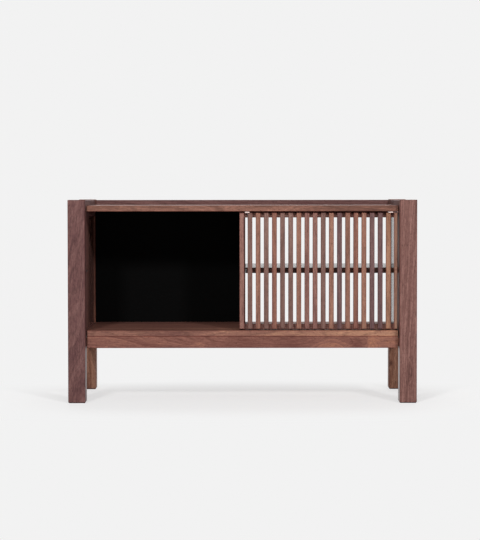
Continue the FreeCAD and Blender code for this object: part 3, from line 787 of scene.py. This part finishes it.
new_piece("rubber_domes", domes(), bumper_rubber(), "cabinet", "rubber_bumper", "door_bumpers")


# Floor and studio: a pale floor that keeps only a faint shadow under the cabinet, two soft
# boxes in front of it to the left and the right, weak wide fills in front, above and behind,
# and a pale room all round.
backdrop_colour = srgb("#F2F2F2")


def seen_directly(tree):
    """1 where a ray from the camera, a mirror or a glass arrives, 0 for soft light."""
    path = add(tree, "ShaderNodeLightPath").outputs
    either = add(tree, "ShaderNodeMath", {0: path["Is Camera Ray"], 1: path["Is Glossy Ray"]},
                 operation="MAXIMUM").outputs[0]
    return add(tree, "ShaderNodeMath", {0: either, 1: path["Is Transmission Ray"]},
               operation="MAXIMUM").outputs[0]


def studio_floor():
    """Pale paper: bright of itself, lit a little near the cabinet, where the shadows show."""
    lit_middle, lit_reach, lit_core = (0, -0.12, 0), (1.3, 0.6), 0.45
    lit_albedo = 0.43
    lit_level = 0.36
    material = bpy.data.materials.new("pale studio paper")
    material.use_nodes = True
    tree = material.node_tree
    tree.nodes.clear()
    place = add(tree, "ShaderNodeTexCoord").outputs["Object"]
    scaled = add(tree, "ShaderNodeMapping", {
        "Vector": place, "Location": lit_middle, "Scale": (*lit_reach, 1)},
        vector_type="TEXTURE").outputs[0]
    distance = add(tree, "ShaderNodeVectorMath", {0: scaled}, operation="LENGTH").outputs["Value"]
    near = add(tree, "ShaderNodeMapRange", {
        "Value": distance, "From Min": lit_core, "From Max": 1.0, "To Min": 1.0, "To Max": 0.0},
        interpolation_type="SMOOTHSTEP").outputs[0]
    grey = add(tree, "ShaderNodeMath", {0: near, 1: lit_albedo}, operation="MULTIPLY").outputs[0]
    own = add(tree, "ShaderNodeMath", {0: near, 1: -lit_level, 2: 1.0}, operation="MULTIPLY_ADD").outputs[0]
    shadowed = add(tree, "ShaderNodeBsdfDiffuse", {"Color": grey}).outputs[0]
    glow = add(tree, "ShaderNodeEmission", {"Color": backdrop_colour, "Strength": own}).outputs[0]
    shown = add(tree, "ShaderNodeAddShader", {0: shadowed, 1: glow}).outputs[0]
    paper = add(tree, "ShaderNodeBsdfDiffuse", {"Color": (0.8, 0.8, 0.8, 1.0)}).outputs[0]
    either = add(tree, "ShaderNodeMixShader", {0: seen_directly(tree), 1: paper, 2: shown}).outputs[0]
    add(tree, "ShaderNodeOutputMaterial", {"Surface": either})
    return material


floor_half = 30.0
floor_mesh = bpy.data.meshes.new("floor")
floor_mesh.from_pydata([(-floor_half, -floor_half, 0), (floor_half, -floor_half, 0),
                        (floor_half, floor_half, 0), (-floor_half, floor_half, 0)], [], [(0, 1, 2, 3)])
floor = bpy.data.objects.new("floor", floor_mesh)
floor_mesh.materials.append(studio_floor())
bpy.context.scene.collection.objects.link(floor)


def softbox(name, place, size, power):
    """A rectangular area lamp that faces the middle of the cabinet."""
    aim = Vector((0, 0, 0.35))
    data = bpy.data.lights.new(name, "AREA")
    data.shape = "RECTANGLE"
    data.size, data.size_y = size
    data.energy = power
    light = bpy.data.objects.new(name, data)
    light.location = place
    light.rotation_euler = (aim - Vector(place)).to_track_quat("-Z", "Y").to_euler()
    bpy.context.scene.collection.objects.link(light)


softbox("left softbox", (-1.7, -5.2, 3.2), (0.6, 0.6), 140)
softbox("right softbox", (2.5, -5.1, 3.0), (0.6, 0.6), 145)
softbox("front fill", (0, -4.0, 4.5), (3.0, 2.0), 40)
softbox("top fill", (0, 1.5, 3.6), (3.0, 2.0), 30)
softbox("back fill", (0, 4.5, 3.6), (3.0, 1.6), 60)

room = bpy.data.worlds.new("pale room")
bpy.context.scene.world = room
room.use_nodes = True
room_tree = room.node_tree
room_tree.nodes.clear()
dim_from, bright_from = -0.5, 0.1
dim_level, fill_level = 0.08, 0.12
direction = add(room_tree, "ShaderNodeTexCoord").outputs["Generated"]
to_back = add(room_tree, "ShaderNodeSeparateXYZ", {0: direction}).outputs["Y"]
mirrored = add(room_tree, "ShaderNodeMapRange", {
    "Value": to_back, "From Min": dim_from, "From Max": bright_from,
    "To Min": dim_level, "To Max": 1.0}).outputs[0]
camera_ray = add(room_tree, "ShaderNodeLightPath").outputs["Is Camera Ray"]
strength = add(room_tree, "ShaderNodeMath", {0: mirrored, 1: camera_ray}, operation="MAXIMUM").outputs[0]
fill_light = add(room_tree, "ShaderNodeBackground", {
    "Color": (1.0, 1.0, 1.0, 1.0), "Strength": fill_level}).outputs[0]
seen_room = add(room_tree, "ShaderNodeBackground", {
    "Color": backdrop_colour, "Strength": strength}).outputs[0]
either_room = add(room_tree, "ShaderNodeMixShader", {
    0: seen_directly(room_tree), 1: fill_light, 2: seen_room}).outputs[0]
add(room_tree, "ShaderNodeOutputWorld", {"Surface": either_room})
bpy.context.scene.view_settings.view_transform = "Standard"

bpy.context.view_layer.update()
